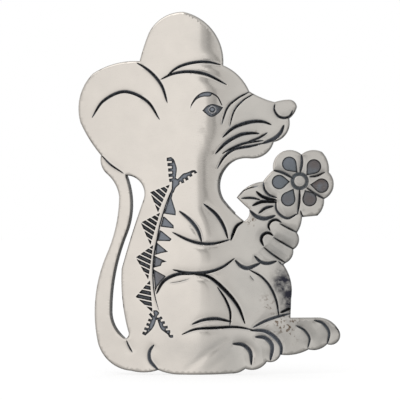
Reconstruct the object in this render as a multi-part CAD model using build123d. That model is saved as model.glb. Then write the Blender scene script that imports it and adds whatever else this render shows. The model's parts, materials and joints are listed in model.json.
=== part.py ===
# Silver brooch: a mouse sitting up in profile, with a flower in its hand.
# One plate is sawn out with its tail slot, bent a little across its width, and
# chased and stamped on the front. A hinged pin with a turning safety catch is
# soldered to its back.
#
# Millimetres. Seen from the front X is to the right, Z is up and the front
# faces -Y. The origin is on the centre line of the pin, halfway between its
# hinge and its catch.
import os
from math import acos, asin, atan2, cos, degrees, hypot, pi, radians, sin, sqrt

from build123d import *

# ---------------------------------------------------------------- dimensions
# plate
plate_height = 63.5         # sole to the top of the far ear
plate_thickness = 1.2
bend_radius = 90.0          # of the back face, about an upright axis
bend_x = 3.5                # where the bend stands out furthest to the front
chase_depth = 0.30          # chased lines
stamp_depth = 0.35          # stamped pits and triangles

# pin and its hinge
pin_span = 22.75            # hinge axis to the middle of the catch
pin_radius = 0.40
pin_point_length = 4.2      # the taper
pin_reach = 2.3             # point, past the middle of the catch
pin_tip_radius = 0.06
eye_radius = 1.10
eye_thickness = 0.80
neck_length = 1.9           # from the hinge axis to where the round wire starts
heel_angle = 305.0          # degrees, of the heel's corner from +X towards +Y

hinge_height = 2.3          # pin line to the back of the plate, at the hinge
ear_gap = 0.9               # between the ears of the joint
ear_thickness = 0.5
ear_radius = 1.3
ear_bend_radius = 0.35      # outside, where the ears are bent up from the floor
joint_floor = 0.5
rivet_radius = 0.40
rivet_head_radius = 0.68
rivet_head_height = 0.25

# soldered patches
patch_radius = 2.5
patch_thickness = 0.5
solder_leg = 0.35           # width and height of the solder fillet

# safety catch
housing_bore_radius = 1.25
housing_wall = 0.65
housing_length = 2.4
mouth_low = -30.0           # degrees from +Y towards +Z
mouth_high = 110.0
lip_radius = 0.25
foot_width = 3.6
foot_thickness = 0.4
waist_width = 1.7
rotor_bore_radius = 0.50
rotor_slot = 1.0
flange_radius = 1.65
flange_thickness = 0.3
lever_angle = 80.0
lever_reach = 3.2
lever_width = 1.4
lever_thickness = 0.55

# clearances
hinge_clearance = 0.03      # rivet in the eye, on the radius
rotor_clearance = 0.05      # barrel in its housing, on the radius
flange_clearance = 0.05
heel_clearance = 0.06       # heel of the pin over the floor of the joint

# The drawing is set out in hundredths of the plate's height, from the origin.
unit = plate_height / 100

# ------------------------------------------------------------------- drawing
# Outline, clockwise from the notch between the ears. Each stretch is an arc
# through three points or a line between two.
outline = [
    # far ear
    [(-12.4, 17.6), (-11.3, 21.4), (-9.9, 25.2)],
    [(-9.9, 25.2), (-5.9, 29.6), (-0.2, 31.1)],
    [(-0.2, 31.1), (8.0, 25.8), (10.7, 16.4)],
    # forehead and the top of the muzzle
    [(10.7, 16.4), (15.0, 13.5), (17.9, 9.2)],
    [(17.9, 9.2), (21.2, 7.5), (24.8, 6.3)],
    # nose, lip, chin and throat
    [(24.8, 6.3), (26.8, 6.8), (28.9, 7.0)],
    [(28.9, 7.0), (30.3, 6.4), (31.0, 5.0)],
    [(31.0, 5.0), (30.2, 3.2), (28.9, 1.8)],
    [(28.9, 1.8), (28.1, -2.4), (24.6, -4.7)],
    [(24.6, -4.7), (22.1, -8.2), (17.8, -9.2)],
    [(17.8, -9.2), (10.7, -12.6), (10.5, -20.5)],
    [(10.5, -20.5), (13.3, -23.7), (16.5, -26.5)],
    # wrist
    [(16.5, -26.5), (17.7, -25.1), (17.8, -23.2)],
    # leaf
    [(17.8, -23.2), (16.0, -21.6), (14.4, -20.0)],
    [(14.4, -20.0), (17.4, -17.0), (21.6, -15.6)],
    # petals: left, upper left, upper right, right, lower right
    [(21.6, -15.6), (22.5, -14.4), (24.4, -12.5)],
    [(24.4, -12.5), (26.7, -7.5), (32.2, -8.1)],
    [(32.2, -8.1), (35.0, -6.9), (37.9, -7.4)],
    [(37.9, -7.4), (39.5, -10.0), (39.8, -13.0)],
    [(39.8, -13.0), (41.1, -17.0), (38.5, -20.4)],
    [(38.5, -20.4), (38.1, -22.9), (36.6, -25.0)],
    [(36.6, -25.0), (32.4, -25.4)],
    # three fingers
    [(32.4, -25.4), (32.2, -26.9), (31.0, -29.7)],
    [(31.0, -29.7), (31.6, -31.5), (30.0, -34.3)],
    [(30.0, -34.3), (29.7, -36.2), (27.9, -38.0)],
    [(27.9, -38.0), (27.3, -38.5)],
    # belly
    [(27.3, -38.5), (29.3, -43.0), (29.4, -47.8)],
    [(29.4, -47.8), (29.2, -53.1)],
    # far foot and its toes
    [(29.2, -53.1), (36.7, -53.1)],
    [(36.7, -53.1), (40.5, -54.3), (42.9, -57.4)],
    [(42.9, -57.4), (42.0, -60.1), (39.3, -60.5)],
    [(39.3, -60.5), (37.0, -61.9), (34.2, -61.9)],
    [(34.2, -61.9), (30.5, -63.2), (26.5, -63.3)],
    # near foot: toes and sole
    [(26.5, -63.3), (25.0, -65.0), (22.7, -65.2)],
    [(22.7, -65.2), (20.1, -67.2), (16.8, -67.1)],
    [(16.8, -67.1), (15.3, -68.0), (13.1, -68.4)],
    [(13.1, -68.4), (5.9, -68.7), (-1.2, -68.7)],
    [(-1.2, -68.7), (-4.3, -68.4), (-7.2, -67.5)],
    # tail, from its tip round the rump to its root under the ear
    [(-7.2, -67.5), (-10.9, -68.2), (-14.6, -67.8)],
    [(-14.6, -67.8), (-20.6, -65.5), (-24.1, -60.0)],
    [(-24.1, -60.0), (-24.8, -47.9), (-21.8, -36.1)],
    [(-21.8, -36.1), (-19.1, -28.2), (-18.1, -19.8)],
    [(-18.1, -19.8), (-19.2, -16.3), (-21.6, -13.4)],
    [(-21.6, -13.4), (-23.1, -11.1), (-23.2, -8.3)],
    # near ear
    [(-23.2, -8.3), (-26.4, -4.0), (-29.0, 0.8)],
    [(-29.0, 0.8), (-29.1, 8.1), (-25.5, 14.3)],
    [(-25.5, 14.3), (-19.2, 17.0), (-12.4, 17.6)],
]

# Slot between the tail and the back: the tail's side, then the back's side.
tail_slot = [
    [(-16.1, -13.9), (-14.6, -22.0), (-16.2, -30.1)],
    [(-16.2, -30.1), (-19.3, -40.3), (-20.4, -50.9)],
    [(-20.4, -50.9), (-19.4, -55.5), (-16.3, -58.9)],
    [(-16.3, -58.9), (-15.5, -58.0), (-15.6, -56.8)],
    [(-15.6, -56.8), (-17.2, -48.3), (-17.4, -39.6)],
    [(-17.4, -39.6), (-14.6, -30.2), (-11.4, -20.8)],
    [(-11.4, -20.8), (-12.0, -16.0), (-16.1, -13.9)],
]

# Chased strokes: start, middle and end, and the width in the middle.
strokes = {
    "ear_back": ([(-13.4, 17.3), (-8.0, 13.2), (-4.8, 6.1)], 0.66),
    "inner_ear": ([(-25.9, 2.1), (-16.7, 9.3), (-6.9, 1.5)], 0.72),
    "far_ear": ([(-4.5, 14.4), (1.8, 17.1), (10.0, 16.6)], 0.66),
    "brow": ([(-6.7, 12.6), (1.9, 14.7), (11.6, 11.1)], 0.72),
    "eyebrow": ([(1.5, 4.4), (3.7, 7.6), (8.0, 8.4)], 1.16),
    "snout_upper": ([(17.3, 8.6), (12.7, 6.0), (10.1, 0.1)], 0.47),
    "nose": ([(24.8, 6.0), (26.3, 2.2), (29.7, 4.2)], 0.52),
    "whisker_1": ([(10.3, -3.4), (16.8, 0.7), (23.9, 0.1)], 0.83),
    "whisker_2": ([(8.3, -8.0), (13.5, -3.5), (20.6, -2.3)], 0.83),
    "lips": ([(13.4, -6.7), (17.3, -5.9), (20.6, -5.3)], 0.66),
    "mouth_corner": ([(21.7, -5.0), (25.2, -3.3), (27.3, 0.2)], 0.77),
    "rump": ([(-8.4, -60.3), (-9.7, -63.4), (-7.7, -66.7)], 0.72),
    "arm_back": ([(-1.6, -23.5), (2.7, -27.0), (4.9, -32.0)], 0.77),
    "arm_front": ([(5.1, -21.5), (9.6, -25.7), (12.1, -31.3)], 0.77),
    "sleeve": ([(-3.5, -29.4), (4.5, -32.5), (11.6, -31.7)], 0.66),
    "cuff": ([(16.0, -27.0), (13.9, -28.6), (12.8, -31.2)], 0.72),
    "waist": ([(-3.4, -39.7), (5.8, -40.5), (13.8, -36.5)], 0.72),
    "thigh_back": ([(-7.0, -46.6), (-4.4, -43.1), (0.4, -42.1)], 0.77),
    "thigh": ([(1.8, -42.0), (10.6, -45.2), (16.6, -54.5)], 0.83),
    "knee": ([(1.9, -54.8), (7.4, -53.1), (13.0, -54.1)], 0.72),
    "shin": ([(-0.9, -57.6), (8.2, -55.8), (17.0, -56.0)], 0.61),
    "instep": ([(18.4, -56.5), (24.2, -58.2), (25.9, -62.4)], 0.83),
    "belly": ([(18.0, -40.7), (23.2, -45.0), (25.6, -51.6)], 0.61),
    "palm_1": ([(13.7, -37.0), (16.8, -39.3), (20.2, -38.5)], 0.83),
    "palm_2": ([(19.2, -36.0), (21.9, -37.7), (25.4, -37.1)], 0.72),
    "near_toe_1": ([(13.0, -60.1), (17.4, -61.5), (18.3, -66.0)], 0.83),
    "near_toe_2": ([(19.2, -58.2), (23.4, -59.8), (23.5, -64.8)], 0.88),
    "far_toe_1": ([(30.7, -55.1), (34.0, -57.5), (34.0, -61.4)], 0.66),
    "far_toe_2": ([(35.7, -53.7), (39.3, -56.0), (39.4, -60.3)], 0.77),
    "knuckle_1": ([(23.5, -28.6), (24.1, -26.8), (26.7, -26.8)], 0.61),
    "knuckle_2": ([(21.6, -32.6), (22.1, -30.6), (24.4, -30.4)], 0.72),
    "finger_1": ([(26.0, -27.0), (28.2, -28.2), (30.3, -29.2)], 0.36),
    "finger_2": ([(24.3, -30.8), (27.0, -32.3), (29.4, -33.8)], 0.36),
    "finger_3": ([(21.6, -33.5), (24.3, -35.6), (27.1, -37.4)], 0.39),
    "vein_1": ([(19.5, -18.1), (21.6, -19.6), (24.2, -20.2)], 0.77),
    "vein_2": ([(18.4, -22.2), (21.4, -21.4), (24.2, -21.4)], 0.77),
    "vein_3": ([(20.2, -24.3), (22.2, -22.8), (24.5, -22.2)], 0.66),
    "leaf_base": ([(18.6, -24.0), (21.4, -25.6), (24.9, -24.9)], 0.88),
    "petal_1": ([(25.0, -12.7), (27.0, -13.2), (28.8, -14.1)], 0.55),
    "petal_2": ([(32.2, -9.0), (32.2, -10.8), (31.8, -12.5)], 0.50),
    "petal_3": ([(31.6, -18.4), (31.5, -20.9), (31.1, -23.2)], 0.52),
}

# Flower: a button in a ring, and six petals with a drop-shaped pit in each,
# given by the middle of its round end and by its point.
flower_middle = (31.6, -15.4)
button_radius = 1.6
button_ring = 0.6
pit_radius = 2.05
petal_pits = [
    ((28.7, -10.6), (31.0, -13.0)),
    ((35.5, -11.3), (33.4, -13.8)),
    ((37.6, -16.6), (34.4, -16.3)),
    ((34.3, -20.3), (33.0, -17.8)),
    ((28.4, -20.3), (29.9, -17.4)),
    ((25.9, -15.6), (28.9, -15.5)),
]

# Eye: upper and lower lid, and the eyeball.
eye_lids = [
    [(4.8, 4.0), (7.5, 5.8), (10.6, 4.9)],
    [(10.6, 4.9), (7.5, 2.3), (4.8, 4.0)],
]
eyeball_middle = (7.6, 4.4)
eyeball_radius = 0.95

# Stamped border down the back: a spine line, hatched triangles on its left
# (top, outer point, bottom), plain triangles on its right.
spine = [(-3.3, -17.1), (-8.6, -37.8), (-7.1, -51.1)]
spine_width = 0.4
hatched_triangles = [
    ((-4.1, -16.3), (-9.6, -18.4), (-7.4, -24.0)),
    ((-6.8, -24.0), (-12.2, -26.8), (-9.5, -33.0)),
    ((-8.7, -32.9), (-13.6, -36.4), (-10.1, -42.5)),
    ((-9.6, -42.6), (-13.6, -47.2), (-8.9, -51.5)),
]
hatch_slopes = [-40, -33, -25, -12]     # degrees, one for each hatched triangle
hatch_count = 4
hatch_share = 0.68                      # sunk part of each step
plain_triangles = [
    [(-2.9, -17.9), (-2.5, -24.7), (-5.6, -24.3)],
    [(-5.9, -25.1), (-3.0, -27.6), (-3.2, -28.3), (-6.7, -28.0)],
    [(-6.9, -28.9), (-3.6, -31.4), (-4.1, -31.9), (-7.4, -31.8)],
    [(-7.5, -32.4), (-4.6, -34.8), (-7.9, -35.6)],
    [(-7.9, -36.2), (-4.9, -37.5), (-6.6, -38.8), (-8.0, -39.2)],
    [(-8.0, -39.9), (-5.2, -41.5), (-7.3, -44.4), (-7.5, -45.8)],
]

# Feathers at both ends of the border: root, middle and tip of the quill, and
# the side that the barbs point to, in degrees.
feathers = [
    ((-2.9, -15.6), (-2.4, -12.3), (-4.0, -9.0), 178),
    ((-1.6, -15.8), (0.4, -13.6), (3.2, -12.6), -55),
    ((-8.3, -52.8), (-8.6, -55.8), (-10.8, -57.9), 165),
    ((-7.2, -52.8), (-6.3, -56.1), (-3.8, -58.5), 35),
]
quill_width = 1.3           # at the fullest place
barb_count = 3
barb_length = 2.3
barb_width = 0.9


# ------------------------------------------------------------- drawing tools
def at(point):
    """A point of the drawing, in millimetres."""
    return (point[0] * unit, point[1] * unit)


def curve(points):
    """A line, or an arc through three points."""
    points = [at(point) for point in points]
    if len(points) == 2:
        return Line(*points)
    return ThreePointArc(*points)


def closed_face(stretches):
    return make_face([curve(points) for points in stretches])


def polygon(points):
    return make_face(Polyline([at(point) for point in points], close=True))


def stroke(points, width):
    """A chased stroke along an arc: full in the middle, running out at both ends."""
    start, middle, end = points
    along_x, along_z = end[0] - start[0], end[1] - start[1]
    share = width / 2 / hypot(along_x, along_z)
    left = (middle[0] - along_z * share, middle[1] + along_x * share)
    right = (middle[0] + along_z * share, middle[1] - along_x * share)
    return closed_face([[start, left, end], [end, right, start]])


def disc(middle, radius):
    return Pos(*at(middle)) * Circle(radius * unit)


def drop(middle, point, radius):
    """A round pit drawn out to a point: a circle and its two tangents."""
    reach = hypot(point[0] - middle[0], point[1] - middle[1])
    heading = atan2(point[1] - middle[1], point[0] - middle[0])
    spread = acos(radius / reach)
    touch = [
        (middle[0] + radius * cos(heading + turn), middle[1] + radius * sin(heading + turn))
        for turn in (spread, pi, -spread)
    ]
    return closed_face([[point, touch[0]], touch, [touch[2], point]])


def hatching(triangle, slope):
    """The sunk stripes of a hatched triangle, at even steps down its long side."""
    top, _, bottom = triangle
    side = hypot(bottom[0] - top[0], bottom[1] - top[1])
    fall = degrees(atan2(bottom[1] - top[1], bottom[0] - top[0]))
    step = side / hatch_count
    width = step * hatch_share * abs(sin(radians(slope - fall)))
    stripes = []
    for index in range(hatch_count):
        share = (index + 0.5) / hatch_count
        middle = (top[0] + (bottom[0] - top[0]) * share, top[1] + (bottom[1] - top[1]) * share)
        stripes.append(Pos(*at(middle)) * Rot(0, 0, slope) * Rectangle(side * unit, width * unit))
    return polygon(triangle) & (Sketch() + stripes)


def feather(root, middle, tip, side):
    """A bent quill with blunt barbs along one side."""
    quill = stroke([root, middle, tip], quill_width)
    barbs = []
    for index in range(barb_count):
        share = (index + 0.5) / barb_count
        bow = 4 * share * (1 - share)
        place = tuple(
            root[axis] * (1 - share) + tip[axis] * share
            + bow * (middle[axis] - (root[axis] + tip[axis]) / 2)
            for axis in (0, 1)
        )
        barbs.append(
            Pos(*at(place)) * Rot(0, 0, side) * Pos(barb_length / 2 * unit, 0)
            * Rectangle(barb_length * unit, barb_width * unit)
        )
    return quill + barbs


# ---------------------------------------------------------------- bent plate
# The back is part of a cylinder about an upright axis. The pin line is at y = 0,
# so the axis lies where the hinge stands hinge_height off the back.
hinge_x = -pin_span / 2
catch_x = pin_span / 2
bend_y = sqrt((bend_radius - hinge_height) ** 2 - (hinge_x - bend_x) ** 2)
drawing_depth = 2 * bend_radius     # more than the drawing's depth needs


def drum(radius):
    """A tall cylinder about the bend's axis."""
    tall = 3 * plate_height
    return Pos(bend_x, bend_y, -tall / 2) * extrude(Circle(radius), tall)


def through(face):
    """A face of the drawing, extruded through the front half of the bend."""
    return Pos(0, bend_y, 0) * extrude(Plane.XZ * face, drawing_depth)


def plate_blank():
    face = closed_face(outline) - closed_face(tail_slot)
    sheet = drum(bend_radius + plate_thickness) - drum(bend_radius)
    return through(face) & sheet


def chased_faces():
    faces = [stroke(points, width) for points, width in strokes.values()]
    faces.append(stroke(spine, spine_width))
    button = disc(flower_middle, button_radius + button_ring) - disc(flower_middle, button_radius)
    return faces + [button]


def stamped_faces():
    faces = [drop(middle, point, pit_radius) for middle, point in petal_pits]
    faces.append(closed_face(eye_lids) - disc(eyeball_middle, eyeball_radius))
    faces += [hatching(*pair) for pair in zip(hatched_triangles, hatch_slopes)]
    faces += [polygon(points) for points in plain_triangles]
    faces += [feather(*quill) for quill in feathers]
    return faces


def sunk(faces, depth):
    """Pits of one depth under the bent front face."""
    together = Sketch() + faces
    return through(together) - drum(bend_radius + plate_thickness - depth)


def mouse_plate():
    plate = plate_blank()
    plate -= sunk(chased_faces(), chase_depth)
    plate -= sunk(stamped_faces(), stamp_depth)
    return plate


# ------------------------------------------------------------ soldered seats
# A seat is the frame at a place on the pin line, turned square to the plate.
# Its Y points away from the plate, whose back is seat_height below its origin.
spare = 1.0                         # cut off again where a piece meets the plate


def seat_height(x):
    return bend_radius - hypot(x - bend_x, bend_y)


def seat(x):
    return Pos(x, 0, 0) * Rot(0, 0, degrees(asin((x - bend_x) / hypot(x - bend_x, bend_y))))


def turned(profile, x):
    """A profile of radius and height over the plate, turned and fitted to its back."""
    solid = Rot(-90, 0, 0) * revolve(Plane.XZ * profile, Axis.Z)
    return seat(x) * Pos(0, -seat_height(x), 0) * solid & drum(bend_radius)


def patch(x):
    outer = Polyline((0, -spare), (patch_radius, -spare), (patch_radius, patch_thickness),
                     (0, patch_thickness), close=True)
    return turned(make_face(outer), x)


def solder(x):
    """The fillet of solder round a patch."""
    outer = Polyline((patch_radius, -spare), (patch_radius + solder_leg + spare, -spare),
                     (patch_radius, solder_leg), close=True)
    return turned(make_face(outer), x)


# ----------------------------------------------------------------- pin joint
def joint_ears():
    """A strip bent up into two ears, with the rivet's hole through both."""
    bottom = patch_thickness - hinge_height
    half_width = ear_gap / 2 + ear_thickness
    side = Pos(0, bottom / 2) * Rectangle(2 * ear_radius, -bottom) + Circle(ear_radius)
    side -= Circle(rivet_radius)
    strip = Pos((bottom + ear_radius) / 2, 0) * Rectangle(ear_radius - bottom, 2 * half_width)
    strip = fillet(strip.vertices().group_by(Axis.X)[0], ear_bend_radius)
    strip -= Pos(bottom + joint_floor + ear_radius, 0) * Rectangle(2 * ear_radius, ear_gap)
    ears = extrude(side, half_width, both=True) & extrude(Plane.YZ * strip, ear_radius, both=True)
    return seat(hinge_x) * ears


def joint_rivet():
    """A round rivet with a low flat head on each side."""
    ear_face = ear_gap / 2 + ear_thickness
    head = extrude(Circle(rivet_head_radius), rivet_head_height)
    rivet = extrude(Circle(rivet_radius), ear_face, both=True)
    rivet += [Pos(0, 0, ear_face) * head, Pos(0, 0, -ear_face - rivet_head_height) * head]
    return Pos(hinge_x, 0, 0) * rivet


def pin_stem():
    """The flat eye and heel, the neck that rounds off, and the pointed wire."""
    floor_depth = hinge_height - patch_thickness - joint_floor - heel_clearance
    tilt = degrees(asin((hinge_x - bend_x) / (bend_radius - hinge_height)))
    heel_reach = floor_depth / cos(radians(heel_angle - 270 - tilt))
    heel = (heel_reach * cos(radians(heel_angle)), heel_reach * sin(radians(heel_angle)))
    flat = Circle(eye_radius) + make_face(Polyline(
        (0, eye_radius), (neck_length, pin_radius), (neck_length, -pin_radius), heel,
        (-eye_radius / 3, -eye_radius * 0.9), close=True))
    flat -= Circle(rivet_radius + hinge_clearance)
    eye = extrude(flat, eye_thickness / 2, both=True)
    neck_start = neck_length - eye_thickness
    neck = make_face(Polyline(
        (-2 * eye_radius, 0), (-2 * eye_radius, 2 * eye_radius), (neck_start, heel_reach),
        (neck_length, pin_radius), (neck_length, 0), close=True))
    eye &= revolve(neck, Axis.X)
    tip_x = pin_span + pin_reach
    taper_x = tip_x - pin_point_length
    wire = make_face(Polyline(
        (neck_length, 0), (neck_length, pin_radius), (taper_x, pin_radius),
        (tip_x, pin_tip_radius), (tip_x, 0), close=True))
    return Pos(hinge_x, 0, 0) * (eye + revolve(wire, Axis.X))


# -------------------------------------------------------------- safety catch
# Profiles of the catch are drawn across the pin, with +Y first and +Z second.
def around(radius, angle):
    return (radius * cos(radians(angle)), radius * sin(radians(angle)))


def sector(radius, low, high):
    """A wedge from the pin's line out to a radius, between two angles."""
    middle = (low + high) / 2
    return make_face([
        Line((0, 0), around(radius, low)),
        ThreePointArc(around(radius, low), around(radius, middle), around(radius, high)),
        Line(around(radius, high), (0, 0)),
    ])


def across(profile, length):
    """A profile of the catch, extruded to both sides of its middle."""
    return Pos(catch_x, 0, 0) * extrude(Plane.YZ * profile, length / 2, both=True)


def catch_body():
    """The open housing on its foot, which sits flat on the patch."""
    outer_radius = housing_bore_radius + housing_wall
    ring = Circle(outer_radius) - Circle(housing_bore_radius)
    ring -= sector(2 * outer_radius, mouth_low, mouth_high)
    ring = fillet(ring.vertices(), lip_radius)
    patch_top = patch_thickness - seat_height(catch_x)
    waist_top = -(housing_bore_radius + housing_wall / 2)
    waist = Pos((patch_top - spare + waist_top) / 2, 0)
    waist *= Rectangle(waist_top - patch_top + spare, waist_width)
    foot = Pos(patch_top + (foot_thickness - spare) / 2, 0)
    foot *= Rectangle(foot_thickness + spare, foot_width)
    body = across(ring + waist + foot, housing_length)
    reach = 4 * foot_width
    over_patch = seat(catch_x) * Pos(0, patch_top + reach / 2, 0) * Box(reach, reach, reach)
    return body & over_patch


def catch_rotor():
    """The turning barrel with a flange at both ends and a thumb lever."""
    barrel_radius = housing_bore_radius - rotor_clearance
    barrel_length = housing_length + 2 * flange_clearance
    slot = Pos(flange_radius, 0) * Rectangle(2 * flange_radius, rotor_slot)
    hollow = Circle(rotor_bore_radius) + slot
    rotor = across(Circle(barrel_radius) - hollow, barrel_length)
    flange = across(Circle(flange_radius) - hollow, flange_thickness)
    shift = (barrel_length + flange_thickness) / 2
    rotor += [Pos(shift, 0, 0) * flange, Pos(-shift, 0, 0) * flange]
    root = (rotor_bore_radius + barrel_radius) / 2
    lever = Pos((root + lever_reach) / 2, 0) * Rectangle(lever_reach - root, lever_thickness)
    lever = Rot(0, 0, lever_angle) * fillet(lever.vertices().group_by(Axis.X)[-1],
                                            0.45 * lever_thickness)
    return rotor + across(lever, lever_width)


# -------------------------------------------------------------------- export
pieces = {
    "mouse_plate": mouse_plate,
    "joint_patch": lambda: patch(hinge_x),
    "joint_solder": lambda: solder(hinge_x),
    "joint_ears": joint_ears,
    "joint_rivet": joint_rivet,
    "pin_stem": pin_stem,
    "catch_patch": lambda: patch(catch_x),
    "catch_solder": lambda: solder(catch_x),
    "catch_body": catch_body,
    "catch_rotor": catch_rotor,
}

if __name__ == "__main__":
    os.makedirs("parts", exist_ok=True)
    for name, make in pieces.items():
        solid = make()
        export_step(solid, f"parts/{name}.step")
        print(f"{name}: {solid.volume:.2f} mm3")
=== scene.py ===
import json
import math

import bmesh
import bpy
import numpy as np
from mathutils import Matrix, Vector, geometry, noise

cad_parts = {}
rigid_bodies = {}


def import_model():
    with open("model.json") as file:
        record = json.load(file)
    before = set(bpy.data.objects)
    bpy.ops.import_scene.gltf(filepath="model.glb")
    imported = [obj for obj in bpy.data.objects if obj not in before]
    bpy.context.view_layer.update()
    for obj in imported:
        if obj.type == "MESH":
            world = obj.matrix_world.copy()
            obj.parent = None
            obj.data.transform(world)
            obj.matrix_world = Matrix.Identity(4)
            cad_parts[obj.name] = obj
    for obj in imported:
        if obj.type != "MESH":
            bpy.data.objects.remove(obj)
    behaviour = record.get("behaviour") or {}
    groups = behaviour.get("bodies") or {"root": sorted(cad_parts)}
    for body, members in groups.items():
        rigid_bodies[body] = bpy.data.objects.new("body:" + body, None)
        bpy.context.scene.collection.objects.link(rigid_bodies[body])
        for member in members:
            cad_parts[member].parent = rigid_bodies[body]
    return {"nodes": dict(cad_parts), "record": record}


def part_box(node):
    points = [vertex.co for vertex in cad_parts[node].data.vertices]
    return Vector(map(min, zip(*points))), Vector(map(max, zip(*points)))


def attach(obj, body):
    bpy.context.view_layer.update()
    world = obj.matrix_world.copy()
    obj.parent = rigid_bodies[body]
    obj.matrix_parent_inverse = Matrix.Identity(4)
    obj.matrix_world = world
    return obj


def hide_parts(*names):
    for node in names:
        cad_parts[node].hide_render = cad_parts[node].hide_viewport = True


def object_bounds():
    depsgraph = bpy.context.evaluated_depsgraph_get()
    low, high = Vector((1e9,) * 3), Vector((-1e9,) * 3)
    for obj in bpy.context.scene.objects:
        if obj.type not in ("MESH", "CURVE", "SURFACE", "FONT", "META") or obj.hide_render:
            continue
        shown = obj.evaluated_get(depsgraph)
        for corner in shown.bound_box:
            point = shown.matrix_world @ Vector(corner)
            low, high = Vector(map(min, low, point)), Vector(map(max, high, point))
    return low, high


bpy.ops.object.select_all(action="SELECT")
bpy.ops.object.delete()
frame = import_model()
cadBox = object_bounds()
bpy.ops.object.select_all(action="DESELECT")
scene = bpy.context.scene
mm = 0.001

# The drawing on the sheet is in hundredths of the brooch's height, from the middle of
# the pin line, with x to the right and z up. Its far ear ends at earTop.
drawing = {
    "earTop": 31.1,
    "shift": (0.15, -0.12),
}
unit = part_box("mouse_plate")[1].z / mm / drawing["earTop"]  # mm


# The sheet as the frame gives it.
def measureSheet(node):
    # the back has no marks, so it gives the bend, the outline and the tail slot
    bm = bmesh.new()
    bm.from_mesh(node.data)
    bmesh.ops.remove_doubles(bm, verts=bm.verts, dist=1e-7)
    bm.normal_update()
    back = set(face for face in bm.faces if face.normal.y > 0.9)
    spots = np.array([[v.co.x / mm, v.co.y / mm] for v in set(v for face in back for v in face.verts)])
    fit = np.linalg.lstsq(np.c_[2 * spots, np.ones(len(spots))], (spots ** 2).sum(1), rcond=None)[0]
    axis = fit[:2]
    backRadius = math.sqrt(fit[2] + axis @ axis)
    frontRadius = max(math.hypot(v.co.x / mm - axis[0], v.co.y / mm - axis[1]) for v in bm.verts)
    nextSpot = {}
    for face in back:
        for loop in face.loops:
            if sum(other in back for other in loop.edge.link_faces) == 1:
                nextSpot[loop.vert] = loop.link_loop_next.vert
    loops = []
    while nextSpot:
        vert = next(iter(nextSpot))
        loop = []
        while vert in nextSpot:
            loop.append((vert.co.x / mm, vert.co.z / mm))
            vert = nextSpot.pop(vert)
        loops.append(np.array(loop))
    bm.free()
    return {"axis": axis, "backRadius": backRadius, "frontRadius": frontRadius, "loops": loops}


sheet = measureSheet(frame["nodes"]["mouse_plate"])
sheetThickness = sheet["frontRadius"] - sheet["backRadius"]
print(f"sheet measured: {sheetThickness:.2f} mm thick, {len(sheet['loops'])} outlines")


def bent(x, depth, z):
    # a place on the drawing, so far under the front, on the bent sheet
    out = np.sqrt((sheet["frontRadius"] - depth) ** 2 - (x - sheet["axis"][0]) ** 2)
    return np.stack([x, sheet["axis"][1] - out, z], axis=-1) * mm


# Drawing tools.
def placed(points):
    # from the drawing's hundredths to mm on the sheet
    return (np.asarray(points, float) + drawing["shift"]) * unit


def spaced(points, step, closed=False):
    # points along straight runs, no further apart than step
    points = np.asarray(points, float)
    ends = np.roll(points, -1, axis=0) if closed else points[1:]
    rows = []
    for start, end in zip(points, ends):
        count = max(1, math.ceil(np.linalg.norm(end - start) / step))
        rows += [start + (end - start) * i / count for i in range(count)]
    if not closed:
        rows.append(points[-1])
    return np.array(rows)


def smoothLine(points, step):
    # a smooth curve through points of the drawing, in mm
    points = placed(points)
    padded = np.vstack([2 * points[0] - points[1], points, 2 * points[-1] - points[-2]])
    rows = []
    for a, b, c, d in zip(padded, padded[1:], padded[2:], padded[3:]):
        count = max(2, math.ceil(np.linalg.norm(c - b) / step))
        t = (np.arange(count) / count)[:, None]
        rows.append(0.5 * (2 * b + (c - a) * t + (2 * a - 5 * b + 4 * c - d) * t ** 2
                           + (3 * b - a - 3 * c + d) * t ** 3))
    return np.vstack(rows + [points[-1:]])


def sideways(line):
    along = np.gradient(line, axis=0)
    along /= np.maximum(np.linalg.norm(along, axis=1), 1e-9)[:, None]
    return np.stack([-along[:, 1], along[:, 0]], axis=1)


def nearest(spots, line, closed=False):
    # distance to a run of points, and the place along it
    starts = line
    ends = np.roll(line, -1, axis=0)
    if not closed:
        starts = starts[:-1]
        ends = ends[:-1]
    span = ends - starts
    best = np.full(len(spots), 1e9)
    place = np.zeros(len(spots))
    for i in range(len(starts)):
        offset = spots - starts[i]
        share = np.clip(offset @ span[i] / max(span[i] @ span[i], 1e-12), 0, 1)
        gap = np.linalg.norm(offset - share[:, None] * span[i], axis=1)
        closer = gap < best
        best[closer] = gap[closer]
        place[closer] = i + share[closer]
    return best, place


def inside(spots, loop):
    x0, z0 = loop[:, 0], loop[:, 1]
    x1, z1 = np.roll(x0, -1), np.roll(z0, -1)
    within = np.zeros(len(spots), bool)
    for ax, az, bx, bz in zip(x0, z0, x1, z1):
        crosses = (az > spots[:, 1]) != (bz > spots[:, 1])
        if bz != az:
            within ^= crosses & (spots[:, 0] < (bx - ax) * (spots[:, 1] - az) / (bz - az) + ax)
    return within


def nearby(spots, line, margin):
    low = line.min(axis=0) - margin
    high = line.max(axis=0) + margin
    return np.where(((spots > low) & (spots < high)).all(axis=1))[0]


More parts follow.
